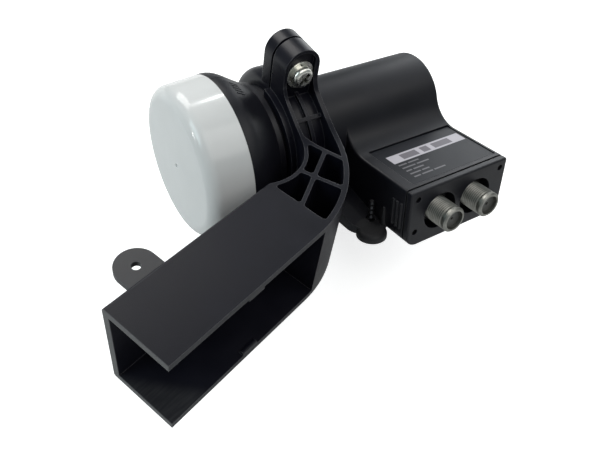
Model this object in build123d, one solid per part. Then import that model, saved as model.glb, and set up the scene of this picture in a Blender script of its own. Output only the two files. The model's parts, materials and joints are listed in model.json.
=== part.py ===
"""Twin-output satellite receiver head clamped in its moulded dish-arm bracket.

Row frame: X runs along the arm channel from its open mouth, Z is the bracket's side
normal, the origin is the middle of the channel mouth.  The feed axis lies in the plane
Z = 0 and leans from X by FEED_TILT; the receiver is turned about it by SKEW.
Feed frame: X along the feed axis (s), Y towards the clamp half (t), Z as above.
Receiver frame: as the feed frame turned by SKEW; the outlets point along -Y, the label
faces +Z.
"""
import os
from math import asin, cos, degrees, radians, sin, sqrt

from build123d import *

# Placing
FEED_TILT = 19.0
SKEW = 13.8
FEED_X = 79.7
FEED_Y = 43.3

# Small clearances
FIT = 0.05
SLIP = 0.1
SPLIT = 0.5

# Arm channel of the bracket
ARM_DEPTH = 23.9
ARM_WIDTH = 34.4
WALL = 2.3
CHANNEL = 62.4
EDGE_ROUND = 0.8
SNAP_X = 32.0
SNAP_LENGTH = 6.0
SNAP_R = 1.3
SNAP_INSET = 0.7
TAB_X = 15.2
TAB_OUT = 4.6
TAB_R = 6.2
TAB_THICK = 1.8
TAB_DROP = 1.0
TAB_HOLE_R = 1.4

# Elbow of the bracket
ELBOW_IN_R = 16.0
ELBOW_OUT_R = 44.3
WEB_DIP = 2.9
RIM_IN = 1.2
RIM_OUT = 1.7
CELL_WALL = 1.6
RIB = 1.3
RIB_RUN = 5.0
MID_WEB = 3.0
CELL_ROUND = 1.0
CROSS_RIB = ((75.3, 8.3), (78.5, -4.3))
LONG_RIB = ((64.6, -0.9), (87.3, 8.3))
TOP_RIB = ((87.3, 15.5), (89.5, 2.5))

# Clamp
NECK_R = 20.0
CLAMP_S = 21.6
CLAMP_WIDTH = 13.4
SHELL_R = 23.3
EAR_TOP = 41.0
EAR_FRONT = 8.2
EAR_FLOOR = 6.6
EAR_BACK = 5.2
EAR_RIM = 1.1
LIP_S = 12.6
RAMP_Z = 26.4
RAMP_T = 22.0
RAMP_HIGH_ROUND = 7.0
RAMP_LOW_ROUND = 22.0
POCKET_RIB = 1.3
POCKET_RIB_RISE = 1.4
POCKET_RIB_ANGLE = 51.0
HALF_R = 25.6
HALF_FRONT = 14.6
HALF_ROUND = 4.0

# Clamp fasteners, M4
SCREW_Z = 31.3
SCREW_R = 2.0
SCREW_HOLE_R = 2.25
HEAD_R = 3.7
HEAD_RISE = 2.2
DRIVE_ANGLE = 45.0
DRIVE_WIDTH = 1.1
DRIVE_LENGTH = 4.6
DRIVE_DEPTH = 1.5
WASHER_R = 5.0
WASHER_THICK = 0.8
LOCK_R = 3.6
LOCK_THICK = 0.6
LOCK_GAP = 0.6
NUT_FLATS = 7.0
NUT_THICK = 3.2
SCREW_TAIL = 1.2

# Feed cap, shroud and horn, radii against distance along the feed axis
CAP_BASE = -4.1
CAP_FACE = -19.8
CAP_R = 27.8
CAP_FACE_R = 26.9
CAP_EDGE = 4.5
CAP_WALL = 1.8
CAP_DOT_R = 0.7
CAP_DOT_DEPTH = 0.4
SHROUD_FLARE = ((-2.6, 27.95), (0.1, 27.45), (2.5, 26.15), (4.9, 24.6), (7.7, 22.9))
BAND_R = 21.6
BAND_START = 9.6
BAND_END = 11.4
NECK_START = 12.2
NECK_END = 29.3
NECK_BORE = 17.8
FLARE_BORE = 25.4
BORE_START = 13.0
FLARE_LIP = 2.0
SKEW_MARKS = (8.0, 11.0, 14.0, 17.0, 20.0)
MARK_START = 0.8
MARK_LENGTH = 3.0
MARK_WIDTH = 0.5
MARK_RISE = 0.25
PARTING = 0.4
PARTING_DEPTH = 0.3
HORN_MOUTH = -10.0
HORN_R = 24.9
HORN_WALL = 1.7
THROAT_S = 20.0
GUIDE_R = 8.8
GUIDE_WALL = 1.7
GUIDE_END = 57.0
LAND_START = 15.0
LAND_END = 19.0
SEAL_R = 25.8
SEAL_WIDTH = 1.8

# Rear housing of the receiver, D is towards the outlets, L towards the label
BODY_R = 17.0
BODY_WALL = 2.2
BODY_END = 84.8
SHOULDER_R = 19.6
SHOULDER_LENGTH = 3.6
SPIGOT_START = 24.0
BOX_S = 40.0
BOX_TOP = -3.4
BOX_BOTTOM = -26.4
BOX_BACK = -BODY_R
BOX_FRONT = 54.45
BOX_EDGE = 1.0
BOX_LOW_ROUND = 5.0
BOX_BACK_ROUND = 9.0
CAVITY_BACK = -10.0
COVE_R = 12.0
GRIP_RIB_COUNT = 3
GRIP_RIB_EDGE = 1.6
GRIP_RIB_PITCH = 2.0
GRIP_RIB_R = 0.6
GRIP_RIB_LOW = -20.0
GRIP_RIB_HIGH = -9.5
FIN_STEP = 4.7
FIN_R = 1.3
FIN_TIP_R = 0.4
FIN_TOP = -16.0

# Plate with the outlets
PLATE = 2.25
PLATE_ROUND = 0.7
GASKET = 0.8
GASKET_INSET = 0.5
PLUG = 4.7
RECESS_R = 7.2
RECESS_FLOOR = 1.7
PORT_SHIFT = 0.05
PORT_SHARE = 0.373
PORT_L = -14.9
PLATE_SCREW_EDGE = 3.2
PLATE_SCREW_LOW = 6.2
PLATE_SCREW_R = 0.8
PLATE_SCREW_LENGTH = 9.0
PLATE_HEAD_R = 1.15
PLATE_HEAD_RISE = 0.8
PLATE_HEAD_SINK = 1.6
BOSS_R = 2.8
BOSS_LENGTH = 14.0

# Outlets, 3/8-32 thread
PORT_R = 4.76
PORT_PITCH_THREAD = 0.794
PORT_THREAD_DEPTH = 0.45
PORT_TIP = 61.8
PORT_BORE = 3.6
PORT_FLANGE_R = 6.0
PORT_FLANGE = 1.6
PORT_NUT_FLATS = 11.0
PORT_NUT = 1.6
PORT_RUN_OUT = 1.8
PORT_COLLAR = 1.4
PORT_CHAMFER = 0.5
PLUG_IN_SINK = 1.4
PLUG_IN_LENGTH = 7.0
CONTACT_R = 0.55
CONTACT_GAP = 1.4
CONTACT_SINK = 3.4

# Board inside the housing
BOARD_THICK = 1.6
BOARD_TOP = PORT_L - CONTACT_R
BOARD_D0 = -8.0
BOARD_GAP = 1.4
RAIL = 5.0
SHIELD_SIDE = 1.2
SHIELD_BACK = 14.0
SHIELD_EDGE = 4.5
SHIELD_RISE = 6.0
SHIELD_WALL = 0.6
PROBE_EDGE = 3.8
PROBE_PITCH = 6.5
PROBE_R = 0.6
PROBE_HOLE_R = 1.2
PROBE_TIP = -3.5
BOARD_SCREW_D = (10.0, 38.0)
BOARD_SCREW_R = 1.0
BOARD_SCREW_LENGTH = 4.2
BOARD_HEAD_R = 1.9
BOARD_HEAD_RISE = 1.2

# Label and earthing ledge
LABEL_LEFT = 4.8
LABEL_RIGHT = 1.8
LABEL_BACK = 25.0
LABEL_FRONT = 1.9
LABEL_THICK = 0.5
LABEL_SINK = 0.25
LABEL_GAP = 0.3
LEDGE_S = 29.6
LEDGE_FRONT = 40.5
LEDGE_THICK = 2.4
LEDGE_ROOT = 14.0
LEDGE_ROOT_TOP = -17.0
LEDGE_CORNER = 7.0
LUG_IN = 5.4
LUG_OUT = 0.7
LUG_R = 5.6
LUG_RISE = 0.5
LUG_EDGE = 1.8
STUD_SIDE = 2.0
STUD_IN = 4.0
STUD_R = 1.2
STUD_PITCH = 2.0
STUD_THREAD_DEPTH = 0.4
STUD_TOP = -15.0
STUD_COLLAR_R = 1.7
STUD_COLLAR = 0.8

TILT = radians(FEED_TILT)
HALF_DEPTH = ARM_DEPTH / 2
HALF_WIDTH = ARM_WIDTH / 2
FLANGE_IN = CLAMP_S - CLAMP_WIDTH / 2
FLANGE_OUT = CLAMP_S + CLAMP_WIDTH / 2
CLAMP_BORE = NECK_R + FIT
CELL_START = CHANNEL + CELL_WALL
SEAM = BOX_FRONT - PLATE
HOUSING_FRONT = SEAM - GASKET
PORT_MID = (BOX_S + BODY_END) / 2 + PORT_SHIFT
PORT_PITCH = PORT_SHARE * (BODY_END - BOX_S)
PORTS = (PORT_MID - PORT_PITCH / 2, PORT_MID + PORT_PITCH / 2)
PLUG_BACK = SEAM - PLUG
RECESS_BACK = PLUG_BACK + RECESS_FLOOR
BOARD_D1 = PLUG_BACK - PORT_FLANGE - BOARD_GAP
CAVITY_S = (BOX_S + BODY_WALL, BODY_END - BODY_WALL)
CAVITY_L = (BOX_BOTTOM + BODY_WALL, BOX_TOP - BODY_WALL)
PLATE_SCREWS = [
    (s, z)
    for s in (BOX_S + PLATE_SCREW_EDGE, BODY_END - PLATE_SCREW_EDGE)
    for z in (BOX_TOP - PLATE_SCREW_EDGE, BOX_BOTTOM + PLATE_SCREW_LOW)
]
SHIELD_S = (CAVITY_S[0] + RAIL + SHIELD_SIDE, CAVITY_S[1] - RAIL - SHIELD_SIDE)
SHIELD_FRONT = BOARD_D1 - SHIELD_EDGE
PROBES = (CAVITY_S[0] + PROBE_EDGE, CAVITY_S[0] + PROBE_EDGE + PROBE_PITCH)
LABEL_S = (BOX_S + LABEL_LEFT, BODY_END - LABEL_RIGHT)
LABEL_D = (LABEL_BACK, HOUSING_FRONT - LABEL_FRONT)
GRIP_RIBS = [HOUSING_FRONT - GRIP_RIB_EDGE - i * GRIP_RIB_PITCH for i in range(GRIP_RIB_COUNT)]
LEDGE_BOTTOM = BOX_BOTTOM
LEDGE_TOP = LEDGE_BOTTOM + LEDGE_THICK
LUG_S = LEDGE_S + LUG_IN
LUG_D = LEDGE_FRONT + LUG_OUT
STUD_S = BOX_S - STUD_SIDE
STUD_D = LEDGE_FRONT - STUD_IN
FIN_D = STUD_D + FIN_STEP

FEED = Pos(FEED_X, FEED_Y, 0) * Rot(0, 0, -FEED_TILT)
RECEIVER = FEED * Rot(-SKEW, 0, 0)
FAR = 200.0


def plan(s, t):
    """Row X and Y of a point given along and across the feed axis."""
    return FEED_X + s * cos(TILT) + t * sin(TILT), FEED_Y - s * sin(TILT) + t * cos(TILT)


def slab(x, y, z):
    """Box between two limits on each axis."""
    centre = Pos(sum(x) / 2, sum(y) / 2, sum(z) / 2)
    return centre * Box(abs(x[1] - x[0]), abs(y[1] - y[0]), abs(z[1] - z[0]))


def rod(radius, start, end):
    """Cylinder along X between two stations."""
    return Pos((start + end) / 2, 0, 0) * Rot(0, 90, 0) * Cylinder(radius, end - start)


def across(radius, s, z, start, end):
    """Cylinder along Y between two stations, at a place along and beside the axis."""
    return Pos(s, (start + end) / 2, z) * Rot(90, 0, 0) * Cylinder(radius, abs(end - start))


def upright(radius, s, y, start, end):
    """Cylinder along Z between two stations."""
    return Pos(s, y, (start + end) / 2) * Cylinder(radius, abs(end - start))


def turned(points):
    """Solid turned about the X axis from a closed run of (station, radius) points."""
    return revolve(make_face(Polyline(*points, close=True)), Axis.X)


def bar(ends, width, overrun):
    """Straight strip on the plan through two points, run on past both."""
    (x0, y0), (x1, y1) = ends
    length = sqrt((x1 - x0) ** 2 + (y1 - y0) ** 2)
    angle = degrees(asin((y1 - y0) / length))
    return Pos((x0 + x1) / 2, (y0 + y1) / 2) * Rot(0, 0, angle) * Rectangle(length + 2 * overrun, width)


def both_sides(shape):
    """A shape with its mirror image in the plane Z = 0."""
    return shape + mirror(shape, Plane.XY)


def arc_middle(centre, radius, first, last):
    """Point of an arc halfway between two of its points."""
    x = (first[0] + last[0]) / 2 - centre[0]
    y = (first[1] + last[1]) / 2 - centre[1]
    reach = radius / sqrt(x * x + y * y)
    return centre[0] + x * reach, centre[1] + y * reach


def elbow_arc(flange, radius, y):
    """Centre of an elbow arc tangent to a flange line, and its tangent point there."""
    s = flange - radius
    t = (y - FEED_Y + s * sin(TILT)) / cos(TILT)
    return plan(s, t), plan(flange, t)


def bracket_plan(inner_gap, outer_gap):
    """Outline of the bracket seen from its side, drawn in along the elbow by two gaps."""
    inner_r = ELBOW_IN_R + inner_gap
    outer_r = ELBOW_OUT_R - outer_gap
    inner, inner_end = elbow_arc(FLANGE_IN + inner_gap, inner_r, HALF_DEPTH - WEB_DIP + ELBOW_IN_R)
    outer, outer_end = elbow_arc(FLANGE_OUT - outer_gap, outer_r, ELBOW_OUT_R - HALF_DEPTH)
    back = HALF_DEPTH - inner_gap
    front = outer_gap - HALF_DEPTH
    dip = (inner[0] - sqrt(inner_r**2 - (inner[1] - back) ** 2), back)
    foot = (outer[0], front)
    inner_low = (inner[0], inner[1] - inner_r)
    outer_mid = arc_middle(outer, outer_r, outer_end, foot)
    inner_top = plan(FLANGE_IN + inner_gap, -SPLIT)
    outer_top = plan(FLANGE_OUT - outer_gap, -SPLIT)
    edges = [
        Line((0, back), dip),
        ThreePointArc(dip, inner_low, inner_end),
        Line(inner_end, inner_top),
        Line(inner_top, outer_top),
        Line(outer_top, outer_end),
        ThreePointArc(outer_end, outer_mid, foot),
        Line(foot, (0, front)),
        Line((0, front), (0, back)),
    ]
    return make_face(edges)


def flange_profile():
    """Outline of the bracket seen along the feed axis, as (t, z)."""
    half = [
        (-SPLIT, EAR_TOP),
        (-EAR_FRONT, EAR_TOP),
        (-EAR_FRONT, RAMP_Z),
        (-RAMP_T, HALF_WIDTH),
        (-FAR, HALF_WIDTH),
    ]
    face = make_face(Polyline(*half, *[(t, -z) for t, z in reversed(half)], close=True))
    for corner, radius in (((-EAR_FRONT, RAMP_Z), RAMP_HIGH_ROUND), ((-RAMP_T, HALF_WIDTH), RAMP_LOW_ROUND)):
        for side in (1, -1):
            place = (corner[0], corner[1] * side, 0)
            face = fillet(face.vertices().sort_by_distance(place)[0], radius)
    return face


def ear_outside(inset):
    """Block round an ear's rounded top, left standing outside it."""
    radius = CLAMP_WIDTH / 2 - inset
    centre = EAR_TOP - CLAMP_WIDTH / 2
    sides = (CLAMP_S - CLAMP_WIDTH, CLAMP_S + CLAMP_WIDTH)
    block = slab(sides, (-EAR_FRONT * 2, EAR_FRONT * 2), (centre, FAR))
    return FEED * (block - across(radius, CLAMP_S, centre, -EAR_FRONT * 3, EAR_FRONT * 3))


def split_plan():
    """The hollow plan areas of the elbow: the cells, and the clamp pocket beyond them."""
    hollow = bracket_plan(RIM_IN, RIM_OUT)
    (x0, y0), (x1, y1) = TOP_RIB
    slope = (x1 - x0) / (y1 - y0)
    high = (x0 + slope * (FAR - y0), FAR)
    low = (x0 - slope * (FAR + y0), -FAR)
    before = make_face(Polyline((CELL_START, -FAR), low, high, (CELL_START, FAR), close=True))
    beyond = make_face(Polyline(low, (FAR * 2, -FAR), (FAR * 2, FAR), high, close=True))
    ribs = bar(CROSS_RIB, RIB, RIB_RUN) + bar(LONG_RIB, RIB, RIB_RUN) + bar(TOP_RIB, RIB, RIB_RUN)
    cells = (hollow & before) - ribs
    rounded = [offset(offset(cell, -CELL_ROUND), CELL_ROUND) for cell in cells.faces()]
    pocket = (hollow & beyond) - bar(TOP_RIB, RIB, RIB_RUN)
    return rounded, pocket.faces()


def clamp_pocket(faces):
    """Tool that hollows one side of the clamp between its flanges."""
    depth = EAR_TOP - MID_WEB / 2
    tool = Part()
    for face in faces:
        tool += Pos(0, 0, MID_WEB / 2) * extrude(face, depth)
    rib_r = SHELL_R + POCKET_RIB_RISE
    hoop = rod(rib_r, CLAMP_S - POCKET_RIB / 2, CLAMP_S + POCKET_RIB / 2)
    blade = Rot(-POCKET_RIB_ANGLE, 0, 0) * slab(
        (FLANGE_IN, FLANGE_OUT), (-rib_r, 0), (-POCKET_RIB / 2, POCKET_RIB / 2)
    )
    keep = rod(SHELL_R, 0, FLANGE_OUT * 2) + hoop + blade
    keep += slab((0, FLANGE_OUT * 2), (-EAR_FLOOR, FAR), (-FAR, FAR))
    return tool - FEED * keep - ear_outside(EAR_RIM)


def bracket_arm():
    """Channel, ribbed elbow and fixed half of the clamp, one moulding."""
    body = extrude(bracket_plan(0, 0), EAR_TOP, both=True)
    side = Plane.YZ.offset(-FAR) * extrude(flange_profile(), FAR * 2)
    body = body & (FEED * side)
    edges = body.edges().filter_by(Axis.X).filter_by(lambda e: e.center().Y > HALF_DEPTH - FIT)
    body = fillet(edges, EDGE_ROUND)
    body -= both_sides(ear_outside(0))
    body += FEED * (rod(SHELL_R, LIP_S, CLAMP_S) & slab((0, FAR), (-FAR, -SPLIT), (-FAR, FAR)))
    body -= FEED * rod(CLAMP_BORE, 0, FLANGE_OUT * 2)
    inner = HALF_WIDTH - WALL
    body -= slab((-FAR, CHANNEL), (-FAR, HALF_DEPTH - WALL), (-inner, inner))
    cells, pocket = split_plan()
    for cell in cells:
        body -= both_sides(Pos(0, 0, MID_WEB / 2) * extrude(cell, HALF_WIDTH))
    body -= both_sides(clamp_pocket(pocket))
    body -= FEED * both_sides(across(SCREW_HOLE_R, CLAMP_S, SCREW_Z, -FAR, FAR))
    snap = Pos(SNAP_X, SNAP_INSET - HALF_DEPTH, inner) * Rot(0, 90, 0) * Cylinder(SNAP_R, SNAP_LENGTH)
    body += both_sides(snap & slab((0, CHANNEL), (-HALF_DEPTH, 0), (0, HALF_WIDTH - EDGE_ROUND)))
    return body + tab()


def tab():
    """Flat eye on the back of the channel."""
    top = HALF_WIDTH - TAB_DROP
    y = HALF_DEPTH + TAB_OUT
    eye = upright(TAB_R, TAB_X, y, top - TAB_THICK, top)
    eye += slab((TAB_X - TAB_R, TAB_X + TAB_R), (HALF_DEPTH - WALL / 2, y), (top - TAB_THICK, top))
    return eye - upright(TAB_HOLE_R, TAB_X, y, -FAR, FAR)


def clamp_half():
    """Loose half of the clamp, a domed half ring with two ears."""
    ring = rod(HALF_R, HALF_FRONT, FLANGE_OUT)
    ring = fillet(ring.edges().filter_by(GeomType.CIRCLE), HALF_ROUND)
    ears = slab((FLANGE_IN, FLANGE_OUT), (SPLIT, EAR_BACK), (-EAR_TOP, EAR_TOP))
    body = ring & slab((0, FAR), (SPLIT, FAR), (-FAR, FAR))
    body = FEED * (body + ears) - both_sides(ear_outside(0))
    body -= FEED * rod(CLAMP_BORE, 0, FLANGE_OUT * 2)
    return body - FEED * both_sides(across(SCREW_HOLE_R, CLAMP_S, SCREW_Z, -FAR, FAR))


def clamp_screw():
    """Pan head cross-slot screw at the upper ear."""
    seat = -EAR_FLOOR - WASHER_THICK - LOCK_THICK
    tip = EAR_BACK + NUT_THICK + SCREW_TAIL
    head = across(HEAD_R, CLAMP_S, SCREW_Z, seat - HEAD_RISE, seat)
    front = head.edges().filter_by(GeomType.CIRCLE).sort_by(Axis.Y)[0]
    head = fillet(front, HEAD_RISE * 0.6)
    drive = Box(DRIVE_LENGTH, DRIVE_DEPTH * 2, DRIVE_WIDTH) + Box(DRIVE_WIDTH, DRIVE_DEPTH * 2, DRIVE_LENGTH)
    head -= Pos(CLAMP_S, seat - HEAD_RISE, SCREW_Z) * Rot(0, DRIVE_ANGLE, 0) * drive
    return head + across(SCREW_R, CLAMP_S, SCREW_Z, seat, tip)


def clamp_washer():
    """Plain washer under the upper screw head."""
    seat = -EAR_FLOOR
    disc = across(WASHER_R, CLAMP_S, SCREW_Z, seat - WASHER_THICK, seat)
    return disc - across(SCREW_HOLE_R, CLAMP_S, SCREW_Z, -FAR, FAR)


def lock_washer():
    """Split spring washer between the plain washer and the upper screw head."""
    seat = -EAR_FLOOR - WASHER_THICK
    ring = across(LOCK_R, CLAMP_S, SCREW_Z, seat - LOCK_THICK, seat)
    ring -= across(SCREW_HOLE_R, CLAMP_S, SCREW_Z, -FAR, FAR)
    return ring - slab((CLAMP_S - LOCK_GAP / 2, CLAMP_S + LOCK_GAP / 2), (-FAR, FAR), (SCREW_Z, FAR))


def hexagon(flats, radius, start, end, s, z):
    """Hexagonal nut along Y with a round bore."""
    sketch = RegularPolygon(flats / 2, 6, major_radius=False) - Circle(radius)
    return Pos(s, start, z) * Rot(-90, 0, 0) * extrude(sketch, end - start)


def clamp_nut():
    """Nut behind the upper ear of the loose half."""
    return hexagon(NUT_FLATS, SCREW_R, EAR_BACK, EAR_BACK + NUT_THICK, CLAMP_S, SCREW_Z)


def feed_cap():
    """Pale cover over the horn mouth."""
    start = (CAP_BASE, CAP_R)
    outside = [start, (CAP_FACE, CAP_FACE_R), (CAP_FACE, 0), (CAP_BASE, 0)]
    body = turned(outside)
    rim = body.edges().filter_by(GeomType.CIRCLE).sort_by(Axis.X)[0]
    body = fillet(rim, CAP_EDGE)
    inside = [
        (CAP_BASE, CAP_R - CAP_WALL),
        (CAP_FACE + CAP_WALL, CAP_FACE_R - CAP_WALL),
        (CAP_FACE + CAP_WALL, 0),
        (CAP_BASE, 0),
    ]
    hollow = turned(inside)
    rim = hollow.edges().filter_by(GeomType.CIRCLE).sort_by(Axis.X)[0]
    body -= fillet(rim, CAP_EDGE - CAP_WALL)
    return body - rod(CAP_DOT_R, CAP_FACE - CAP_WALL, CAP_FACE + CAP_DOT_DEPTH)


def flare_curve(inset):
    """Outside of the shroud's flare, drawn in by an inset."""
    points = [(CAP_BASE, CAP_R), *SHROUD_FLARE, (BAND_START, BAND_R)]
    return Spline(*[(s, r - inset) for s, r in points])


def flare(inset):
    """Solid inside the shroud's flare, drawn in by an inset."""
    rest = Polyline((BAND_START, BAND_R - inset), (BAND_START, 0), (CAP_BASE, 0), (CAP_BASE, CAP_R - inset))
    return revolve(make_face([flare_curve(inset)] + rest.edges()), Axis.X)


def feed_shroud():
    """Black flare and clamp neck round the horn, with skew marks and a parting line."""
    rest = Polyline(
        (BAND_START, BAND_R),
        (BAND_END, BAND_R),
        (NECK_START, NECK_R),
        (NECK_END, NECK_R),
        (NECK_END, NECK_BORE),
        (BORE_START, NECK_BORE),
        (CAP_BASE + FLARE_LIP, FLARE_BORE),
        (CAP_BASE, FLARE_BORE),
        (CAP_BASE, CAP_R),
    )
    body = revolve(make_face([flare_curve(0)] + rest.edges()), Axis.X)
    skin = flare(-MARK_RISE) - flare(MARK_RISE)
    stroke = (MARK_START, MARK_START + MARK_LENGTH)
    for angle in SKEW_MARKS:
        mark = slab(stroke, (-MARK_WIDTH / 2, MARK_WIDTH / 2), (0, FAR))
        body += (Rot(angle, 0, 0) * mark) & skin
    line = slab((CAP_BASE, BAND_START), (-PARTING / 2, PARTING / 2), (-FAR, FAR))
    return body - (line - flare(PARTING_DEPTH))


def feed_horn():
    """Cast horn and round guide, closed at its far end, with holes for the probes."""
    guide_out = GUIDE_R + GUIDE_WALL
    outside = [
        (HORN_MOUTH, HORN_R),
        (CAP_BASE + FLARE_LIP, HORN_R),
        (LAND_START, NECK_BORE - HORN_WALL),
        (LAND_START, NECK_BORE),
        (LAND_END, NECK_BORE),
        (LAND_END, guide_out + HORN_WALL),
        (LAND_END + LAND_START, guide_out),
        (GUIDE_END, guide_out),
        (GUIDE_END, 0),
        (GUIDE_END - GUIDE_WALL, 0),
        (GUIDE_END - GUIDE_WALL, GUIDE_R),
        (THROAT_S, GUIDE_R),
        (CAP_BASE + FLARE_LIP, HORN_R - HORN_WALL),
        (HORN_MOUTH, HORN_R - HORN_WALL),
    ]
    body = turned(outside)
    for s in PROBES:
        body -= upright(PROBE_HOLE_R, s, 0, -guide_out * 2, 0)
    return body


def cap_seal():
    """Flat ring sealing the cap round the horn."""
    ring = rod(SEAL_R, CAP_BASE - SEAL_WIDTH, CAP_BASE)
    return ring - rod(HORN_R, CAP_BASE - SEAL_WIDTH * 2, FAR)


def box_side():
    """Outline of the rear housing seen from its end, as (D, L)."""
    height = BOX_TOP - BOX_BOTTOM
    depth = HOUSING_FRONT - BOX_BACK
    block = Pos(BOX_BACK + depth / 2, BOX_BOTTOM + height / 2) * Rectangle(depth, height)
    outline = Circle(BODY_R) + block
    notch = outline.vertices().sort_by_distance((BODY_R, BOX_TOP, 0))[0]
    outline = fillet(notch, COVE_R)
    heel = outline.vertices().sort_by_distance((BOX_BACK, BOX_BOTTOM, 0))[0]
    return fillet(heel, BOX_BACK_ROUND)


def end_plane(s):
    """Drawing plane across the receiver, D to the right and L up, facing -X."""
    return Plane(origin=(s, 0, 0), x_dir=(0, -1, 0), z_dir=(-1, 0, 0))


def front_sketch(inset):
    """Rounded outline of the outlet face, as (s, L)."""
    width = BODY_END - BOX_S - 2 * inset
    height = BOX_TOP - BOX_BOTTOM - 2 * inset
    sheet = Pos((BOX_S + BODY_END) / 2, (BOX_TOP + BOX_BOTTOM) / 2) * Rectangle(width, height)
    sheet = fillet(sheet.vertices().group_by(Axis.Y)[0], BOX_LOW_ROUND - inset)
    return fillet(sheet.vertices().group_by(Axis.Y)[-1], BOX_EDGE - inset)


def forward(sketch, start, end):
    """Solid of an (s, L) sketch between two distances towards the outlets."""
    return Plane(origin=(0, -start, 0), x_dir=(1, 0, 0), z_dir=(0, -1, 0)) * extrude(sketch, end - start)


def box_corners():
    """Material outside the rounded lower edges of the outlet box."""
    middle = Pos((BOX_S + BODY_END) / 2, BOX_BOTTOM)
    band = middle * Rectangle(BODY_END - BOX_S + 2 * BOX_EDGE, 2 * BOX_LOW_ROUND)
    return forward(band - front_sketch(0), BOX_BACK - BOX_EDGE, BOX_FRONT)


def ledge():
    """Low ledge and round lug under the clamp end of the housing."""
    root = [
        (0, BODY_WALL - BODY_R),
        (0, LEDGE_BOTTOM),
        (LEDGE_FRONT, LEDGE_BOTTOM),
        (LEDGE_FRONT, LEDGE_TOP),
        (LEDGE_ROOT, LEDGE_ROOT_TOP),
        (LEDGE_ROOT - BODY_WALL, BODY_WALL - BODY_R + BODY_WALL),
    ]
    start = BOX_S + BOX_LOW_ROUND
    body = end_plane(start) * extrude(make_face(Polyline(*root, close=True)), start - LEDGE_S)
    body -= rod(BODY_R - BODY_WALL / 2, 0, FAR)
    corner = body.edges().filter_by(Axis.Z).sort_by_distance((LEDGE_S, -LEDGE_FRONT, LEDGE_TOP))[0]
    body = fillet(corner, LEDGE_CORNER)
    lug = upright(LUG_R, LUG_S, -LUG_D, LEDGE_BOTTOM, LEDGE_TOP + LUG_RISE)
    body += fillet(lug.edges().filter_by(GeomType.CIRCLE).sort_by(Axis.Z)[-1], LUG_EDGE)
    body -= upright(STUD_COLLAR_R + SLIP, STUD_S, -STUD_D, LEDGE_TOP, 0)
    return body - upright(STUD_R, STUD_S, -STUD_D, LEDGE_BOTTOM, 0)


def grips():
    """Grip ridges and pointed fin on the box side that faces the clamp."""
    middle = (GRIP_RIB_LOW + GRIP_RIB_HIGH) / 2
    body = Part()
    for d in GRIP_RIBS:
        body += Pos(BOX_S, -d, middle) * Cylinder(GRIP_RIB_R, GRIP_RIB_HIGH - GRIP_RIB_LOW)
    fin = Pos(BOX_S, -FIN_D, (LEDGE_BOTTOM + LEDGE_TOP) / 4 + FIN_TOP / 2)
    return body + fin * Cone(FIN_R, FIN_TIP_R, FIN_TOP - (LEDGE_BOTTOM + LEDGE_TOP) / 2)


def rear_housing():
    """Hollow round body with the outlet box, its bosses, rails and ledge."""
    shape = end_plane(BODY_END) * extrude(box_side(), BODY_END - BOX_S)
    layers = shape.edges().group_by(Axis.X)
    ends = layers[0].sort_by(Axis.Y)[1:] + layers[-1].sort_by(Axis.Y)[1:]
    shape = fillet(ends, BOX_EDGE) - box_corners()
    front = [
        (SPIGOT_START, 0),
        (SPIGOT_START, NECK_BORE - FIT),
        (NECK_END, NECK_BORE - FIT),
        (NECK_END, SHOULDER_R),
        (NECK_END + SHOULDER_LENGTH, BODY_R),
        (BOX_S + BOX_LOW_ROUND, BODY_R),
        (BOX_S + BOX_LOW_ROUND, 0),
    ]
    shape += turned(front)
    shape += ledge()
    shape += grips()
    shape -= rod(BODY_R - BODY_WALL, 0, BODY_END - BODY_WALL)
    shape -= slab(CAVITY_S, (-FAR, -CAVITY_BACK), CAVITY_L)
    board_bottom = BOARD_TOP - BOARD_THICK
    for s0, s1 in rails():
        shape += slab((s0, s1), (-BOARD_D1, -BOARD_D0), (BOX_BOTTOM + BODY_WALL / 2, board_bottom))
    for s, z in PLATE_SCREWS:
        shape += across(BOSS_R, s, z, -HOUSING_FRONT, BOSS_LENGTH - HOUSING_FRONT)
        shape -= across(PLATE_SCREW_R, s, z, -FAR, PLATE_SCREW_LENGTH - HOUSING_FRONT)
    for s, d in board_screw_places():
        shape -= upright(BOARD_SCREW_R, s, -d, board_bottom - BOARD_SCREW_LENGTH + BOARD_THICK, board_bottom)
    shape -= label_block(LABEL_GAP, FAR)
    return shape - across_ports()


def across_ports():
    """Round clearances in front of the recesses, where they reach the housing walls."""
    tool = Part()
    for s in PORTS:
        tool += across(RECESS_R, s, PORT_L, -BOX_FRONT, -RECESS_BACK)
    return tool


def rails():
    """Limits along the axis of the two board rails."""
    return (CAVITY_S[0], CAVITY_S[0] + RAIL), (CAVITY_S[1] - RAIL, CAVITY_S[1])


def board_screw_places():
    """Places of the board screws, as (s, D)."""
    return [(sum(rail) / 2, d) for rail in rails() for d in BOARD_SCREW_D]


def connector_plate():
    """Outlet face with a plug behind it and two round recesses."""
    body = forward(front_sketch(0), SEAM, BOX_FRONT)
    body = fillet(body.edges().group_by(Axis.Y)[0], PLATE_ROUND)
    width = (CAVITY_S[0] + SLIP, CAVITY_S[1] - SLIP)
    body += slab(width, (-SEAM, -PLUG_BACK), (CAVITY_L[0] + SLIP, CAVITY_L[1] - SLIP))
    for s, z in PLATE_SCREWS:
        body -= across(BOSS_R + SLIP, s, z, -SEAM, 0)
        body -= across(PLATE_SCREW_R + FIT, s, z, -FAR, 0)
        body -= across(PLATE_HEAD_R + FIT, s, z, -FAR, PLATE_HEAD_SINK - BOX_FRONT)
    for s in PORTS:
        body -= across(PORT_R + FIT, s, PORT_L, -FAR, 0)
    return body - across_ports()


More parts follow.
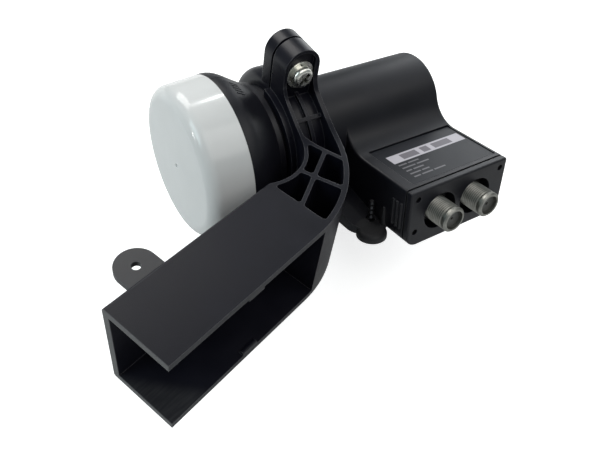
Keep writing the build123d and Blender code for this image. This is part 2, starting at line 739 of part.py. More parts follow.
def plate_seal():
    """Flat gasket behind the outlet face."""
    hole = Pos(sum(CAVITY_S) / 2, sum(CAVITY_L) / 2)
    window = hole * Rectangle(CAVITY_S[1] - CAVITY_S[0], CAVITY_L[1] - CAVITY_L[0])
    for place in PLATE_SCREWS:
        window -= Pos(*place) * Circle(BOSS_R + SLIP)
    sheet = front_sketch(GASKET_INSET) - window
    for place in PLATE_SCREWS:
        sheet -= Pos(*place) * Circle(PLATE_SCREW_R + FIT)
    return forward(sheet, HOUSING_FRONT, SEAM) - across_ports()


def plate_screw(s, z):
    """Small screw holding the outlet face."""
    seat = PLATE_HEAD_SINK - BOX_FRONT
    head = across(PLATE_HEAD_R, s, z, seat - PLATE_HEAD_RISE, seat)
    return head + across(PLATE_SCREW_R, s, z, seat, PLATE_SCREW_LENGTH - HOUSING_FRONT)


def thread(radius, depth, pitch, start, end):
    """Ridge points of a ring thread between two stations, as (station, radius)."""
    points = []
    count = int((end - start) / pitch)
    for i in range(count):
        points.append((start + i * pitch, radius - depth))
        points.append((start + (i + 0.5) * pitch, radius))
    points.append((start + count * pitch, radius - depth))
    return points


def to_port(shape, s):
    """Place a shape turned about X at an outlet, X becoming the outlet direction."""
    return Pos(s, 0, PORT_L) * Rot(0, 0, -90) * shape


def f_connector():
    """Threaded outlet sleeve with its inner flange."""
    back = PLUG_BACK - PORT_FLANGE
    ridge_start = RECESS_BACK + PORT_NUT
    ridges = thread(PORT_R, PORT_THREAD_DEPTH, PORT_PITCH_THREAD, ridge_start, PORT_TIP - PORT_RUN_OUT)
    outside = [(back, PORT_FLANGE_R), (PLUG_BACK, PORT_FLANGE_R), (PLUG_BACK, PORT_R), (ridge_start, PORT_R)]
    tip = [
        (PORT_TIP - PORT_COLLAR, PORT_R),
        (PORT_TIP - PORT_CHAMFER, PORT_R),
        (PORT_TIP, PORT_R - PORT_CHAMFER),
        (PORT_TIP, PORT_BORE),
    ]
    return turned([*outside, *ridges, *tip, (back, PORT_BORE)])


def f_insulator():
    """Pale insert in the outlet, round the spring contact."""
    front = PORT_TIP - PLUG_IN_SINK
    return rod(PORT_BORE, front - PLUG_IN_LENGTH, front) - rod(CONTACT_R, 0, FAR)


def f_contact():
    """Centre contact of an outlet, reaching back over the board."""
    return rod(CONTACT_R, SHIELD_FRONT + CONTACT_GAP, PORT_TIP - CONTACT_SINK)


def connector_nut():
    """Hexagonal nut on an outlet, on the floor of its recess."""
    sketch = RegularPolygon(PORT_NUT_FLATS / 2, 6, major_radius=False) - Circle(PORT_R)
    return Pos(RECESS_BACK, 0, 0) * Rot(0, 90, 0) * extrude(sketch, PORT_NUT)


def circuit_board():
    """Board on the rails under the guide."""
    limits = (CAVITY_S[0] + SLIP, CAVITY_S[1] - SLIP)
    body = slab(limits, (-BOARD_D1, -BOARD_D0), (BOARD_TOP - BOARD_THICK, BOARD_TOP))
    for s, d in board_screw_places():
        body -= upright(BOARD_SCREW_R + FIT, s, -d, -FAR, FAR)
    for s, z in PLATE_SCREWS:
        body -= across(BOSS_R + SLIP, s, z, -FAR, BOSS_LENGTH - HOUSING_FRONT + SLIP)
    return body


def board_shield():
    """Thin metal lid over the board's amplifier."""
    depth = (-SHIELD_FRONT, -SHIELD_BACK)
    body = slab(SHIELD_S, depth, (BOARD_TOP, BOARD_TOP + SHIELD_RISE))
    inside = [(a + SHIELD_WALL, b - SHIELD_WALL) for a, b in (SHIELD_S, depth)]
    return body - slab(*inside, (BOARD_TOP, BOARD_TOP + SHIELD_RISE - SHIELD_WALL))


def signal_probe(s):
    """Wire probe from the board into the guide."""
    return upright(PROBE_R, s, 0, BOARD_TOP, PROBE_TIP)


def board_screw(s, d):
    """Pan screw holding the board on its rail."""
    head = upright(BOARD_HEAD_R, s, -d, BOARD_TOP, BOARD_TOP + BOARD_HEAD_RISE)
    return head + upright(BOARD_SCREW_R, s, -d, BOARD_TOP - BOARD_SCREW_LENGTH, BOARD_TOP)


def label_block(gap, top):
    """Block standing on the floor of the label recess, grown sideways by a gap."""
    sides = (LABEL_S[0] - gap, LABEL_S[1] + gap)
    depth = (-LABEL_D[1] - gap, gap - LABEL_D[0])
    return slab(sides, depth, (BOX_TOP - LABEL_SINK - LABEL_THICK, top))


def label_plate():
    """Thin plate let into the label face."""
    return label_block(0, BOX_TOP - LABEL_SINK)


def earth_stud():
    """Ridged earthing stud pressed into the ledge, with a collar on it."""
    start = LEDGE_TOP + STUD_COLLAR
    ridges = thread(STUD_R, STUD_THREAD_DEPTH, STUD_PITCH, start, STUD_TOP)
    end = ridges[-1][0]
    root = [
        (LEDGE_BOTTOM, 0),
        (LEDGE_BOTTOM, STUD_R),
        (LEDGE_TOP, STUD_R),
        (LEDGE_TOP, STUD_COLLAR_R),
        (start, STUD_COLLAR_R),
    ]
    return Pos(STUD_S, -STUD_D, 0) * Rot(0, -90, 0) * turned([*root, *ridges, (end, 0)])


def group(solids):
    """Separate solids kept together as one node."""
    return Compound(children=[solid for shape in solids for solid in shape.solids()])


def export(name, shape):
    """Write one node."""
    export_step(shape, os.path.join("parts", name + ".step"))


def main():
    """Write every node of the receiver and its bracket."""
    os.makedirs("parts", exist_ok=True)
    export("bracket_arm", bracket_arm())
    export("clamp_half", clamp_half())
    export("clamp_screws", group([FEED * both_sides(clamp_screw())]))
    export("clamp_washers", group([FEED * both_sides(clamp_washer())]))
    export("lock_washers", group([FEED * both_sides(lock_washer())]))
    export("clamp_nuts", group([FEED * both_sides(clamp_nut())]))
    for build in (
        feed_cap,
        feed_shroud,
        feed_horn,
        cap_seal,
        rear_housing,
        connector_plate,
        plate_seal,
        circuit_board,
        board_shield,
        label_plate,
        earth_stud,
    ):
        export(build.__name__, RECEIVER * build())
    for side, s in zip(("left", "right"), PORTS):
        export("f_connector_" + side, RECEIVER * to_port(f_connector(), s))
    export("connector_nuts", group([RECEIVER * to_port(connector_nut(), s) for s in PORTS]))
    export("f_insulators", group([RECEIVER * to_port(f_insulator(), s) for s in PORTS]))
    export("f_contacts", group([RECEIVER * to_port(f_contact(), s) for s in PORTS]))
    export("plate_screws", group([RECEIVER * plate_screw(*place) for place in PLATE_SCREWS]))
    export("board_screws", group([RECEIVER * board_screw(*place) for place in board_screw_places()]))
    export("signal_probes", group([RECEIVER * signal_probe(s) for s in PROBES]))


main()
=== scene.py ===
"""Looks of the satellite receiver head and its dish-arm bracket."""
import json
from math import radians

import bmesh
import bpy
from mathutils import Euler, Matrix, Vector


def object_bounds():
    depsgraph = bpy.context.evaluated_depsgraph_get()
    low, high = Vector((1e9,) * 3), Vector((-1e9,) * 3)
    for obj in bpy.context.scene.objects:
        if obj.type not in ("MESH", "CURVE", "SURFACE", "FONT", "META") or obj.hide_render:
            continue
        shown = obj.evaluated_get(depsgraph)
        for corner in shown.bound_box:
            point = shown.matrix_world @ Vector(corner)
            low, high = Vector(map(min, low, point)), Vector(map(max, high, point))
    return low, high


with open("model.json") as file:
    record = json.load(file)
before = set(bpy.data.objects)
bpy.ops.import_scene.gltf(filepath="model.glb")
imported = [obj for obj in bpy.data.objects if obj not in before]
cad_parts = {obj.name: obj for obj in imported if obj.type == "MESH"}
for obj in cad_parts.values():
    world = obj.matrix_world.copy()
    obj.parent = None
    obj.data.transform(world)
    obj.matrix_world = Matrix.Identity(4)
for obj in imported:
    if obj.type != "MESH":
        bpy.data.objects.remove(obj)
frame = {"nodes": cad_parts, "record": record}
CAD_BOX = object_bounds()

MM = 0.001
CAMERA_PLACE = (-0.04839, -0.06965, 0.154157)
CAMERA_TURN = (41.115, -7.137, -50.870)
CAMERA_LENS = 38.02

# Floor, in metres: its glow to the camera grows with the distance from the object
FLOOR_LEVEL = CAD_BOX[0][2] - 0.001
FLOOR_HALF = 3.0
FLOOR_TONE = 0.75
FLOOR_FADE = (0.25, 0.9)
FLOOR_GLOW = (0.70, 1.0)
FLOOR_GLOSS = 0.05

# Surroundings: what lights the object, and what glossy surfaces get besides
WORLD_LEVEL = 0.18
WORLD_GLOSS = 0.1

# Lamps: direction from the object, distance and size in metres, power in watts, colour
WHITE = (1.0, 1.0, 1.0)
WARM = (1.0, 0.98, 0.955)
COOL = (0.88, 0.97, 1.0)
ICY = (0.76, 0.96, 1.0)
PALE = (0.95, 0.98, 1.0)
LAMP_AIM = (0.08, 0.02, 0.0)
LAMPS = {
    "key": ((0.13, 0.72, 0.68), 0.75, 0.42, 2.8, WARM),
    "back": ((0.91, 0.09, 0.29), 0.75, 0.55, 2.7, PALE),
    "left": ((-0.72, 0.35, 0.58), 0.75, 0.35, 1.5, ICY),
    "front": ((-0.15, -0.5, 0.85), 0.8, 0.6, 1.9, WARM),
    "glint_top": ((0.437, 0.434, 0.787), 0.9, 0.04, 0.3, WHITE),
    "glint_front": ((0.38, -0.46, 0.80), 0.8, 0.26, 0.55, WARM),
    "glint_left": ((-0.807, 0.557, 0.194), 0.9, 0.07, 0.35, WHITE),
}

# Receiver frame, as the CAD part has it: X along the feed, -Y to the outlets, Z to the label
RECEIVER = (
    Matrix.Translation((0.0797, 0.0433, 0.0))
    @ Matrix.Rotation(radians(-19.0), 4, "Z")
    @ Matrix.Rotation(radians(-13.8), 4, "X")
)

# Housing black, and the round lug on the ledge in millimetres of the receiver frame
BODY_TONE = (0.006, 0.006, 0.0095)
BODY_ROUGH = 0.44
LUG_AXIS = (35.0, -41.2, -24.5)
LUG_R = 5.6
LUG_FADE = 0.3
LUG_FLATTEN = (1.0, 1.0, 0.35)
LUG_TONE = (0.018, 0.018, 0.02)
LUG_ROUGH = 0.6

# Print on the label, in millimetres of the receiver frame: limits along X, limits along Y
FILM_TONE = (0.014, 0.015, 0.019)
FILM_EDGE = (0.03, 0.03, 0.034)
STRIP_TONE = (0.46, 0.44, 0.48)
BLOCK_TONE = (0.16, 0.15, 0.17)
DASH_TONE = (0.15, 0.145, 0.155)
LABEL_STRIP = ((47.8, 82.2), (-35.8, -30.6))
LABEL_BLOCKS = [(x, (-34.9, -31.5)) for x in ((53.0, 60.5), (62.5, 66.0), (68.0, 76.5))]
LABEL_ROW_PITCH = 2.1
LABEL_ROW_Y = (-37.8, -37.1)
LABEL_ROW_DASHES = (
    ((48.3, 51.9), (52.6, 57.4)),
    ((48.3, 54.2), (54.9, 60.4)),
    ((48.3, 50.8), (51.5, 56.2)),
    ((48.3, 53.0), (53.7, 57.0)),
    ((48.3, 51.2), (51.9, 56.8), (57.5, 62.6)),
)

# Bracket black, and the marked places on it in millimetres of the part's frame: a paler eye, a painted
# reflection on the mouth lip, and painted light on the channel floor in the mouth
BRACKET_TONE = (0.006, 0.006, 0.0105)
# Edge colour: painted edge highlight and edge wear
BRACKET_EDGE = (0.11, 0.11, 0.12)
CHANNEL_ROUGH = 0.4
CLAMP_ROUGH = 0.3
CLAMP_FADE = (64.0, 84.0)
# The eye is painted a paler tone
EYE = ((5.0, 28.0), (12.05, 26.0))
EYE_TONE = (0.045, 0.044, 0.047)
# Painted reflection: a paler band on the lip of the channel mouth
MOUTH_LIP = ((-1.0, 0.2), (-13.0, 13.0))
LIP_REFLECTION_TONE = (0.06, 0.06, 0.062)
# Painted light on the channel floor inside the mouth: a pale patch fading along a slanted shadow edge,
# broken into drawn-out streaks
CHANNEL_FLOOR = -14.9
FLOOR_NEAR = 0.3
FLOOR_FAR = 0.5
MOUTH_LIGHT_TONE = (0.03, 0.03, 0.033)
MOUTH_LIGHT_SLANT = (1.0, 0.62, 0.0)
MOUTH_LIGHT_FADE = (2.0, 8.0)
MOUTH_LIGHT_STRETCH = (0.15, 1.6, 1.0)
MOUTH_LIGHT_SCALE = 0.8
MOUTH_LIGHT_BREAK = (0.3, 0.7)
MOUTH_LIGHT_WEAK = 0.55


def new_group(name, inputs, outputs):
    """Empty shader node group with named sockets."""
    group = bpy.data.node_groups.new(name, "ShaderNodeTree")
    for socket, kind, default in inputs:
        made = group.interface.new_socket(socket, in_out="INPUT", socket_type=kind)
        if default is not None:
            made.default_value = default
    for socket, kind in outputs:
        group.interface.new_socket(socket, in_out="OUTPUT", socket_type=kind)
    return group, group.nodes.new("NodeGroupInput"), group.nodes.new("NodeGroupOutput")


def moulded_group():
    """Moulded plastic: cloudy tone, fine texture, and paler sharp edges, a painted edge highlight and edge
    wear.
    """
    group, source, sink = new_group(
        "moulded_plastic",
        [
            ("Color", "NodeSocketColor", (0.02, 0.02, 0.02, 1)),
            ("Edge Color", "NodeSocketColor", (0.06, 0.06, 0.06, 1)),
            ("Roughness", "NodeSocketFloat", 0.4),
            ("Texture", "NodeSocketFloat", 0.1),
            ("Edge Width", "NodeSocketFloat", 0.0004),
            ("Cloud", "NodeSocketFloat", 0.12),
        ],
        [("Color", "NodeSocketColor"), ("Roughness", "NodeSocketFloat"), ("Normal", "NodeSocketVector")],
    )
    nodes, links = group.nodes, group.links
    place = nodes.new("ShaderNodeTexCoord")

    cloud = nodes.new("ShaderNodeTexNoise")
    cloud.inputs["Scale"].default_value = 90.0
    cloud.inputs["Detail"].default_value = 3.0
    links.new(place.outputs["Object"], cloud.inputs["Vector"])
    grain = nodes.new("ShaderNodeTexNoise")
    grain.inputs["Scale"].default_value = 2600.0
    grain.inputs["Detail"].default_value = 2.0
    links.new(place.outputs["Object"], grain.inputs["Vector"])

    rounded = nodes.new("ShaderNodeBevel")
    rounded.samples = 6
    links.new(source.outputs["Edge Width"], rounded.inputs["Radius"])
    surface = nodes.new("ShaderNodeNewGeometry")
    facing = nodes.new("ShaderNodeVectorMath")
    facing.operation = "DOT_PRODUCT"
    links.new(rounded.outputs["Normal"], facing.inputs[0])
    links.new(surface.outputs["Normal"], facing.inputs[1])
    edge = nodes.new("ShaderNodeMapRange")
    edge.inputs["From Min"].default_value = 0.999
    edge.inputs["From Max"].default_value = 0.90
    links.new(facing.outputs["Value"], edge.inputs["Value"])

    sway = nodes.new("ShaderNodeMapRange")
    sway.inputs["From Min"].default_value = 0.3
    sway.inputs["From Max"].default_value = 0.7
    sway.inputs["To Min"].default_value = -1.0
    sway.inputs["To Max"].default_value = 1.0
    links.new(cloud.outputs["Fac"], sway.inputs["Value"])
    tone = nodes.new("ShaderNodeMath")
    tone.operation = "MULTIPLY_ADD"
    tone.inputs[2].default_value = 1.0
    links.new(sway.outputs["Result"], tone.inputs[0])
    links.new(source.outputs["Cloud"], tone.inputs[1])
    tinted = nodes.new("ShaderNodeVectorMath")
    tinted.operation = "SCALE"
    links.new(source.outputs["Color"], tinted.inputs[0])
    links.new(tone.outputs["Value"], tinted.inputs["Scale"])
    # Paler colour along sharp edges: painted edge highlight, and edge wear
    edge_highlight_and_wear = nodes.new("ShaderNodeMix")
    edge_highlight_and_wear.data_type = "RGBA"
    links.new(edge.outputs["Result"], edge_highlight_and_wear.inputs["Factor"])
    links.new(tinted.outputs["Vector"], edge_highlight_and_wear.inputs["A"])
    links.new(source.outputs["Edge Color"], edge_highlight_and_wear.inputs["B"])

    rough = nodes.new("ShaderNodeMath")
    rough.operation = "MULTIPLY"
    rough.use_clamp = True
    links.new(source.outputs["Roughness"], rough.inputs[0])
    links.new(tone.outputs["Value"], rough.inputs[1])

    bump = nodes.new("ShaderNodeBump")
    bump.inputs["Distance"].default_value = 0.00006
    links.new(source.outputs["Texture"], bump.inputs["Strength"])
    links.new(grain.outputs["Fac"], bump.inputs["Height"])
    links.new(rounded.outputs["Normal"], bump.inputs["Normal"])

    links.new(edge_highlight_and_wear.outputs["Result"], sink.inputs["Color"])
    links.new(rough.outputs["Value"], sink.inputs["Roughness"])
    links.new(bump.outputs["Normal"], sink.inputs["Normal"])
    return group


def plated_group():
    """Plated metal: faint stains in tone and shine, with painted shade in its grooves."""
    group, source, sink = new_group(
        "plated_metal",
        [
            ("Color", "NodeSocketColor", (0.6, 0.6, 0.58, 1)),
            ("Stain Color", "NodeSocketColor", (0.3, 0.29, 0.26, 1)),
            ("Roughness", "NodeSocketFloat", 0.25),
            ("Scale", "NodeSocketFloat", 600.0),
            ("Groove Depth", "NodeSocketFloat", 0.0006),
        ],
        [("Color", "NodeSocketColor"), ("Roughness", "NodeSocketFloat"), ("Normal", "NodeSocketVector")],
    )
    nodes, links = group.nodes, group.links
    place = nodes.new("ShaderNodeTexCoord")
    patch = nodes.new("ShaderNodeTexNoise")
    patch.inputs["Detail"].default_value = 4.0
    links.new(place.outputs["Object"], patch.inputs["Vector"])
    links.new(source.outputs["Scale"], patch.inputs["Scale"])
    mask = nodes.new("ShaderNodeMapRange")
    mask.inputs["From Min"].default_value = 0.42
    mask.inputs["From Max"].default_value = 0.78
    links.new(patch.outputs["Fac"], mask.inputs["Value"])
    tint = nodes.new("ShaderNodeMix")
    tint.data_type = "RGBA"
    links.new(mask.outputs["Result"], tint.inputs["Factor"])
    links.new(source.outputs["Color"], tint.inputs["A"])
    links.new(source.outputs["Stain Color"], tint.inputs["B"])
    # Painted shade: colour darkened in grooves and recesses by ambient occlusion
    hollow = nodes.new("ShaderNodeAmbientOcclusion")
    hollow.samples = 8
    hollow.only_local = True
    links.new(source.outputs["Groove Depth"], hollow.inputs["Distance"])
    open_part = nodes.new("ShaderNodeMapRange")
    open_part.inputs["From Min"].default_value = 0.35
    open_part.inputs["From Max"].default_value = 0.85
    open_part.inputs["To Min"].default_value = 0.12
    links.new(hollow.outputs["AO"], open_part.inputs["Value"])
    groove_shade = nodes.new("ShaderNodeVectorMath")
    groove_shade.operation = "SCALE"
    links.new(tint.outputs["Result"], groove_shade.inputs[0])
    links.new(open_part.outputs["Result"], groove_shade.inputs["Scale"])
    spread = nodes.new("ShaderNodeMath")
    spread.operation = "MULTIPLY_ADD"
    spread.inputs[1].default_value = 0.1
    links.new(patch.outputs["Fac"], spread.inputs[0])
    links.new(source.outputs["Roughness"], spread.inputs[2])
    bump = nodes.new("ShaderNodeBump")
    bump.inputs["Strength"].default_value = 0.1
    bump.inputs["Distance"].default_value = 0.00002
    links.new(patch.outputs["Fac"], bump.inputs["Height"])
    links.new(groove_shade.outputs["Vector"], sink.inputs["Color"])
    links.new(spread.outputs["Value"], sink.inputs["Roughness"])
    links.new(bump.outputs["Normal"], sink.inputs["Normal"])
    return group


MOULDED = moulded_group()
PLATED = plated_group()


def finish_material(name, group, values, metallic=0.0, specular=0.5, coat=0.0):
    """Principled material fed by a finish group."""
    material = bpy.data.materials.new(name)
    material.use_nodes = True
    nodes, links = material.node_tree.nodes, material.node_tree.links
    shader = nodes["Principled BSDF"]
    shader.inputs["Metallic"].default_value = metallic
    shader.inputs["Specular IOR Level"].default_value = specular
    shader.inputs["Coat Weight"].default_value = coat
    effect = nodes.new("ShaderNodeGroup")
    effect.name = "finish"
    effect.node_tree = group
    for socket, value in values.items():
        effect.inputs[socket].default_value = value
    links.new(effect.outputs["Color"], shader.inputs["Base Color"])
    links.new(effect.outputs["Roughness"], shader.inputs["Roughness"])
    links.new(effect.outputs["Normal"], shader.inputs["Normal"])
    return material


def plastic(name, color, edge, roughness, texture, width=0.0003, cloud=0.12, specular=0.5):
    """Moulded plastic of one colour."""
    values = {
        "Color": (*color, 1),
        "Edge Color": (*edge, 1),
        "Roughness": roughness,
        "Texture": texture,
        "Edge Width": width,
        "Cloud": cloud,
    }
    return finish_material(name, MOULDED, values, specular=specular)


def metal(name, color, stain, roughness, scale, groove=0.0005):
    """Plated or cast metal of one colour."""
    values = {
        "Color": (*color, 1),
        "Stain Color": (*stain, 1),
        "Roughness": roughness,
        "Scale": scale,
        "Groove Depth": groove,
    }
    return finish_material(name, PLATED, values, metallic=1.0)


def field_group():
    """Rectangle in the X and Y of a frame: 1 inside, 0 outside."""
    group, source, sink = new_group(
        "print_field",
        [
            ("Place", "NodeSocketVector", None),
            ("Centre", "NodeSocketVector", None),
            ("Half", "NodeSocketVector", None),
        ],
        [("Mask", "NodeSocketFloat")],
    )
    nodes, links = group.nodes, group.links
    away = nodes.new("ShaderNodeVectorMath")
    away.operation = "SUBTRACT"
    links.new(source.outputs["Place"], away.inputs[0])
    links.new(source.outputs["Centre"], away.inputs[1])
    size = nodes.new("ShaderNodeVectorMath")
    size.operation = "ABSOLUTE"
    links.new(away.outputs["Vector"], size.inputs[0])
    room = nodes.new("ShaderNodeVectorMath")
    room.operation = "SUBTRACT"
    links.new(source.outputs["Half"], room.inputs[0])
    links.new(size.outputs["Vector"], room.inputs[1])
    sides = nodes.new("ShaderNodeSeparateXYZ")
    links.new(room.outputs["Vector"], sides.inputs["Vector"])
    least = nodes.new("ShaderNodeMath")
    least.operation = "MINIMUM"
    links.new(sides.outputs["X"], least.inputs[0])
    links.new(sides.outputs["Y"], least.inputs[1])
    inside = nodes.new("ShaderNodeMapRange")
    inside.inputs["From Min"].default_value = -0.05
    inside.inputs["From Max"].default_value = 0.05
    links.new(least.outputs["Value"], inside.inputs["Value"])
    links.new(inside.outputs["Result"], sink.inputs["Mask"])
    return group


PRINT_FIELD = field_group()


def place_in(material, own_frame):
    """Point on the surface in millimetres of a frame."""
    nodes, links = material.node_tree.nodes, material.node_tree.links
    where = nodes.new("ShaderNodeTexCoord")
    place = nodes.new("ShaderNodeMapping")
    place.vector_type = "TEXTURE"
    place.inputs["Location"].default_value = own_frame.to_translation()
    place.inputs["Rotation"].default_value = own_frame.to_euler()
    place.inputs["Scale"].default_value = (MM, MM, MM)
    links.new(where.outputs["Object"], place.inputs["Vector"])
    return place.outputs["Vector"]


def field(material, place, x, y):
    """Mask of a rectangle between two limits along X and two along Y."""
    nodes, links = material.node_tree.nodes, material.node_tree.links
    spot = nodes.new("ShaderNodeGroup")
    spot.node_tree = PRINT_FIELD
    spot.inputs["Centre"].default_value = (sum(x) / 2, sum(y) / 2, 0)
    spot.inputs["Half"].default_value = ((x[1] - x[0]) / 2, (y[1] - y[0]) / 2, 1)
    links.new(place, spot.inputs["Place"])
    return spot.outputs["Mask"]


def product(material, first, second):
    """Two masks multiplied."""
    nodes, links = material.node_tree.nodes, material.node_tree.links
    both = nodes.new("ShaderNodeMath")
    both.operation = "MULTIPLY"
    links.new(first, both.inputs[0])
    links.new(second, both.inputs[1])
    return both.outputs["Value"]


def paint(material, under, mask, color):
    """Colour laid over another one where a mask is 1."""
    nodes, links = material.node_tree.nodes, material.node_tree.links
    layer = nodes.new("ShaderNodeMix")
    layer.data_type = "RGBA"
    layer.inputs["B"].default_value = (*color, 1)
    links.new(mask, layer.inputs["Factor"])
    if isinstance(under, tuple):
        layer.inputs["A"].default_value = (*under, 1)
    else:
        links.new(under, layer.inputs["A"])
    return layer.outputs["Result"]


def ramp(material, value, low, high, start, end):
    """Smooth change from one value to another along a coordinate."""
    nodes, links = material.node_tree.nodes, material.node_tree.links
    slope = nodes.new("ShaderNodeMapRange")
    slope.interpolation_type = "SMOOTHSTEP"
    for socket, number in (("From Min", low), ("From Max", high), ("To Min", start), ("To Max", end)):
        slope.inputs[socket].default_value = number
    links.new(value, slope.inputs["Value"])
    return slope.outputs["Result"]


def mouth_painted_light(material, place):
    """Mask of painted light on the channel floor inside the mouth, fading along a slanted shadow edge and
    broken into streaks drawn out along the arm's way in.
    """
    nodes, links = material.node_tree.nodes, material.node_tree.links
    axes = nodes.new("ShaderNodeSeparateXYZ")
    links.new(place, axes.inputs["Vector"])
    slant = nodes.new("ShaderNodeVectorMath")
    slant.operation = "DOT_PRODUCT"
    slant.inputs[1].default_value = MOUTH_LIGHT_SLANT
    links.new(place, slant.inputs[0])
    reach = ramp(material, slant.outputs["Value"], *MOUTH_LIGHT_FADE, 1.0, 0.0)
    height = axes.outputs["Z"]
    above = ramp(material, height, CHANNEL_FLOOR - FLOOR_FAR, CHANNEL_FLOOR - FLOOR_NEAR, 0.0, 1.0)
    below = ramp(material, height, CHANNEL_FLOOR + FLOOR_NEAR, CHANNEL_FLOOR + FLOOR_FAR, 1.0, 0.0)
    drawn = nodes.new("ShaderNodeVectorMath")
    drawn.operation = "MULTIPLY"
    drawn.inputs[1].default_value = MOUTH_LIGHT_STRETCH
    links.new(place, drawn.inputs[0])
    streaks = nodes.new("ShaderNodeTexNoise")
    streaks.inputs["Scale"].default_value = MOUTH_LIGHT_SCALE
    links.new(drawn.outputs["Vector"], streaks.inputs["Vector"])
    broken = ramp(material, streaks.outputs["Fac"], *MOUTH_LIGHT_BREAK, MOUTH_LIGHT_WEAK, 1.0)
    return product(material, product(material, reach, broken), product(material, above, below))


def bracket_black():
    """Black moulding: satin on the channel, glossier at the clamp, paler on the eye, with painted light on
    the channel floor and a painted reflection on the lip of the mouth.
    """
    material = plastic(
        "bracket_black", BRACKET_TONE, BRACKET_EDGE, CHANNEL_ROUGH, 0.25, width=0.00022, specular=0.21
    )
    nodes, links = material.node_tree.nodes, material.node_tree.links
    place = place_in(material, Matrix())
    color = paint(material, BRACKET_TONE, field(material, place, *EYE), EYE_TONE)
    # Painted light on the channel floor inside the mouth
    color = paint(material, color, mouth_painted_light(material, place), MOUTH_LIGHT_TONE)
    # Painted reflection on the lip of the channel mouth
    color = paint(material, color, field(material, place, *MOUTH_LIP), LIP_REFLECTION_TONE)
    links.new(color, nodes["finish"].inputs["Color"])
    along = nodes.new("ShaderNodeSeparateXYZ")
    links.new(place, along.inputs["Vector"])
    gloss = ramp(material, along.outputs["X"], *CLAMP_FADE, CHANNEL_ROUGH, CLAMP_ROUGH)
    links.new(gloss, nodes["finish"].inputs["Roughness"])
    return material


def body_black():
    """Fine satin black, with the round lug on the ledge paler and duller."""
    edge = (0.06, 0.06, 0.066)
    material = plastic("body_black", BODY_TONE, edge, BODY_ROUGH, 0.2, width=0.00025, specular=0.32)
    nodes, links = material.node_tree.nodes, material.node_tree.links
    reach = nodes.new("ShaderNodeVectorMath")
    reach.operation = "SUBTRACT"
    reach.inputs[1].default_value = LUG_AXIS
    links.new(place_in(material, RECEIVER), reach.inputs[0])
    flat = nodes.new("ShaderNodeVectorMath")
    flat.operation = "MULTIPLY"
    flat.inputs[1].default_value = LUG_FLATTEN
    links.new(reach.outputs["Vector"], flat.inputs[0])
    far = nodes.new("ShaderNodeVectorMath")
    far.operation = "LENGTH"
    links.new(flat.outputs["Vector"], far.inputs[0])
    lug = ramp(material, far.outputs["Value"], LUG_R, LUG_R + LUG_FADE, 1.0, 0.0)
    links.new(paint(material, BODY_TONE, lug, LUG_TONE), nodes["finish"].inputs["Color"])
    links.new(ramp(material, lug, 0.0, 1.0, BODY_ROUGH, LUG_ROUGH), nodes["finish"].inputs["Roughness"])
    return material


def label_film():
    """Dark label film with a pale strip, grey blocks and rows of short dashes."""
    material = plastic("label_film", FILM_TONE, FILM_EDGE, 0.4, 0.04, cloud=0.06, specular=0.16)
    nodes, links = material.node_tree.nodes, material.node_tree.links
    shader = nodes["Principled BSDF"]
    place = place_in(material, RECEIVER)
    film = shader.inputs["Base Color"].links[0].from_socket
    color = paint(material, film, field(material, place, *LABEL_STRIP), STRIP_TONE)
    for block in LABEL_BLOCKS:
        color = paint(material, color, field(material, place, *block), BLOCK_TONE)
    for i, dashes in enumerate(LABEL_ROW_DASHES):
        y = [side - i * LABEL_ROW_PITCH for side in LABEL_ROW_Y]
        for x in dashes:
            color = paint(material, color, field(material, place, x, y), DASH_TONE)
    links.new(color, shader.inputs["Base Color"])
    return material


FINISHES = {
    "bracket_black": bracket_black(),
    "body_black": body_black(),
    "cap_white": plastic("cap_white", (0.70, 0.70, 0.695), (0.73, 0.73, 0.725), 0.15, 0.02, cloud=0.015),
    "insulator": plastic("insulator", (0.07, 0.07, 0.065), (0.1, 0.1, 0.09), 0.5, 0.1),
    "board_green": plastic("board_green", (0.02, 0.11, 0.05), (0.03, 0.15, 0.07), 0.3, 0.2),
    "seal_rubber": plastic("seal_rubber", (0.01, 0.01, 0.01), (0.015, 0.015, 0.015), 0.7, 0.4),
    "label_film": label_film(),
    "zinc": metal("zinc", (0.80, 0.795, 0.745), (0.66, 0.65, 0.58), 0.22, 500.0, 0.0012),
    "dark_steel": metal("dark_steel", (0.03, 0.03, 0.03), (0.015, 0.015, 0.015), 0.4, 700.0),
    "stud_steel": metal("stud_steel", (0.09, 0.09, 0.10), (0.05, 0.05, 0.05), 0.35, 700.0),
    "nickel": metal("nickel", (0.27, 0.268, 0.247), (0.20, 0.198, 0.178), 0.36, 450.0),
    "contact_brass": metal("contact_brass", (0.72, 0.53, 0.22), (0.45, 0.33, 0.14), 0.3, 600.0),
    "casting": metal("casting", (0.55, 0.55, 0.56), (0.38, 0.38, 0.39), 0.45, 300.0),
    "tinplate": metal("tinplate", (0.66, 0.66, 0.65), (0.5, 0.5, 0.48), 0.3, 300.0),
}


def dress_nodes():
    """Give every CAD node the finish of its material slot."""
    for part in frame["record"]["subparts"]:
        node = frame["nodes"][part["node"]]
        for slot in node.material_slots:
            slot.material = FINISHES[part["material_slot"]]


def add_camera():
    """Camera where the photograph was taken from."""
    data = bpy.data.cameras.new("camera")
    data.lens = CAMERA_LENS
    data.sensor_width = 36.0
    data.sensor_fit = "HORIZONTAL"
    data.clip_start = 0.01
    data.clip_end = 20.0
    camera = bpy.data.objects.new("camera", data)
    camera.location = CAMERA_PLACE
    camera.rotation_euler = Euler([radians(a) for a in CAMERA_TURN], "XYZ")
    bpy.context.collection.objects.link(camera)
    bpy.context.scene.camera = camera


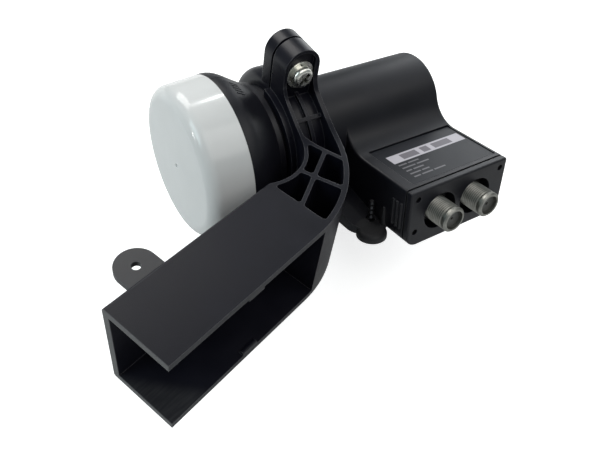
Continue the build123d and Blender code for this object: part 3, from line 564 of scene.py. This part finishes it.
def pale_strength(tree, lit, camera, glossy):
    """Strength that is higher for camera and glossy rays, so the background reads white.

    The camera's share is a number or a socket.
    """
    nodes, links = tree.nodes, tree.links
    rays = nodes.new("ShaderNodeLightPath")
    seen = nodes.new("ShaderNodeMath")
    seen.operation = "MULTIPLY_ADD"
    seen.inputs[2].default_value = lit
    links.new(rays.outputs["Is Camera Ray"], seen.inputs[0])
    if isinstance(camera, float):
        seen.inputs[1].default_value = camera
    else:
        links.new(camera, seen.inputs[1])
    mirrored = nodes.new("ShaderNodeMath")
    mirrored.operation = "MAXIMUM"
    links.new(rays.outputs["Is Glossy Ray"], mirrored.inputs[0])
    links.new(rays.outputs["Is Transmission Ray"], mirrored.inputs[1])
    both = nodes.new("ShaderNodeMath")
    both.operation = "MULTIPLY_ADD"
    both.inputs[1].default_value = glossy
    links.new(mirrored.outputs["Value"], both.inputs[0])
    links.new(seen.outputs["Value"], both.inputs[2])
    return both.outputs["Value"]


def add_floor():
    """Plain pale floor, white to the camera where nothing shades it."""
    bm = bmesh.new()
    bmesh.ops.create_grid(bm, x_segments=1, y_segments=1, size=FLOOR_HALF)
    bmesh.ops.translate(bm, verts=bm.verts, vec=(0.05, 0.0, FLOOR_LEVEL))
    mesh = bpy.data.meshes.new("floor")
    bm.to_mesh(mesh)
    bm.free()
    floor = bpy.data.objects.new("floor", mesh)
    bpy.context.collection.objects.link(floor)
    material = bpy.data.materials.new("floor_white")
    material.use_nodes = True
    nodes, links = material.node_tree.nodes, material.node_tree.links
    shader = nodes["Principled BSDF"]
    shader.inputs["Base Color"].default_value = (FLOOR_TONE, FLOOR_TONE, FLOOR_TONE, 1)
    shader.inputs["Roughness"].default_value = 0.9
    where = nodes.new("ShaderNodeTexCoord")
    far = nodes.new("ShaderNodeVectorMath")
    far.operation = "LENGTH"
    links.new(where.outputs["Object"], far.inputs[0])
    glow = nodes.new("ShaderNodeEmission")
    glow.inputs["Color"].default_value = (1, 1, 1, 1)
    whiteness = ramp(material, far.outputs["Value"], *FLOOR_FADE, *FLOOR_GLOW)
    links.new(pale_strength(material.node_tree, 0.0, whiteness, FLOOR_GLOSS), glow.inputs["Strength"])
    both = nodes.new("ShaderNodeAddShader")
    links.new(shader.outputs["BSDF"], both.inputs[0])
    links.new(glow.outputs["Emission"], both.inputs[1])
    links.new(both.outputs["Shader"], nodes["Material Output"].inputs["Surface"])
    mesh.materials.append(material)


def add_lamp(name, direction, distance, size, power, color):
    """Square soft lamp that looks at the object from a direction."""
    data = bpy.data.lights.new(name, "AREA")
    data.shape = "SQUARE"
    data.size = size
    data.energy = power
    data.color = color
    away = Vector(direction).normalized()
    lamp = bpy.data.objects.new(name, data)
    lamp.location = Vector(LAMP_AIM) + distance * away
    lamp.rotation_euler = away.to_track_quat("Z", "Y").to_euler()
    bpy.context.collection.objects.link(lamp)


def add_light():
    """Even studio light: pale surroundings, large soft lamps round the object, and three small glints."""
    world = bpy.data.worlds.new("studio")
    world.use_nodes = True
    nodes, links = world.node_tree.nodes, world.node_tree.links
    background = nodes["Background"]
    rays = nodes.new("ShaderNodeLightPath")
    tint = nodes.new("ShaderNodeMix")
    tint.data_type = "RGBA"
    tint.inputs["A"].default_value = (*COOL, 1)
    tint.inputs["B"].default_value = (*WHITE, 1)
    links.new(rays.outputs["Is Camera Ray"], tint.inputs["Factor"])
    links.new(tint.outputs["Result"], background.inputs["Color"])
    strength = pale_strength(world.node_tree, WORLD_LEVEL, 1.0 - WORLD_LEVEL, WORLD_GLOSS)
    links.new(strength, background.inputs["Strength"])
    bpy.context.scene.world = world
    for name, values in LAMPS.items():
        add_lamp(name, *values)


def main():
    """Dress the frame and light it."""
    dress_nodes()
    add_camera()
    add_floor()
    add_light()
    bpy.context.scene.view_settings.view_transform = "Standard"


main()
